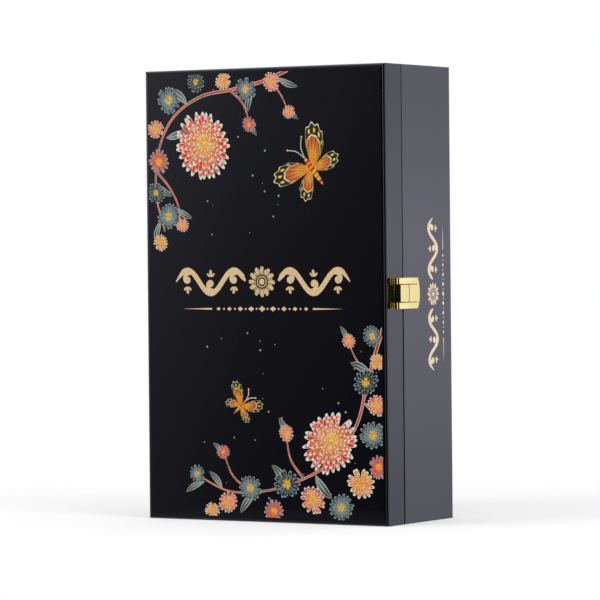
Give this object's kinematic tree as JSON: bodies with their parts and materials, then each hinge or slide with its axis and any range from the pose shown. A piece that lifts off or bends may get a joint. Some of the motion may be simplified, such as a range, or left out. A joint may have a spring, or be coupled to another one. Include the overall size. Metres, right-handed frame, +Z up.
{
  "type": "wine box",
  "caption": "Tall lacquered presentation box with a side-hinged padded lid, a shaped bottle tray and a hinged metal latch.",
  "frame": {"origin": "middle of the underside, on the surface that the box stands on, half way between the sides and half way between the front and the back faces", "axes": "+X to the viewer's right across the front (the latch side), +Y from the lid's face to the back, +Z up"},
  "size_m": [0.2362, 0.106, 0.36],
  "materials": {
    "lacquer": "fibreboard under polished black lacquer",
    "flock": "foam block covered with short black flock",
    "lining_board": "stiff grey-brown board",
    "satin_lining": "champagne satin over padding",
    "gilt_metal": "polished gilt"
  },
  "bodies": {
    "case": {"back_panel": "lacquer", "case_hinge_wall": "lacquer", "case_latch_wall": "lacquer", "case_top_wall": "lacquer", "case_bottom_wall": "lacquer", "bottle_tray": "flock", "upper_hinge_case_leaf": "gilt_metal", "upper_hinge_pin": "gilt_metal", "lower_hinge_case_leaf": "gilt_metal", "lower_hinge_pin": "gilt_metal", "hinge_screws_case": "gilt_metal", "latch_catch": "gilt_metal", "catch_screws": "gilt_metal"},
    "lid": {"front_panel": "lacquer", "lid_hinge_rail": "lacquer", "lid_latch_rail": "lacquer", "lid_top_rail": "lacquer", "lid_bottom_rail": "lacquer", "lid_lining_board": "lining_board", "lid_pad": "satin_lining", "upper_hinge_lid_leaf": "gilt_metal", "lower_hinge_lid_leaf": "gilt_metal", "hinge_screws_lid": "gilt_metal", "latch_bracket": "gilt_metal", "latch_pin": "gilt_metal", "bracket_screws": "gilt_metal"},
    "latch": {"latch_flap": "gilt_metal"}
  },
  "joints": [
    {"name": "lid_hinge", "type": "hinge", "parent": "case", "child": "lid", "pos_m": [-0.1141, -0.026, 0], "axis": [0, 0, -1], "range_deg": [0, 180]},
    {"name": "latch_pivot", "type": "hinge", "parent": "lid", "child": "latch", "pos_m": [0.1163, -0.0437, 0.181], "axis": [0, 0, -1], "range_deg": [0, 110]}
  ]
}
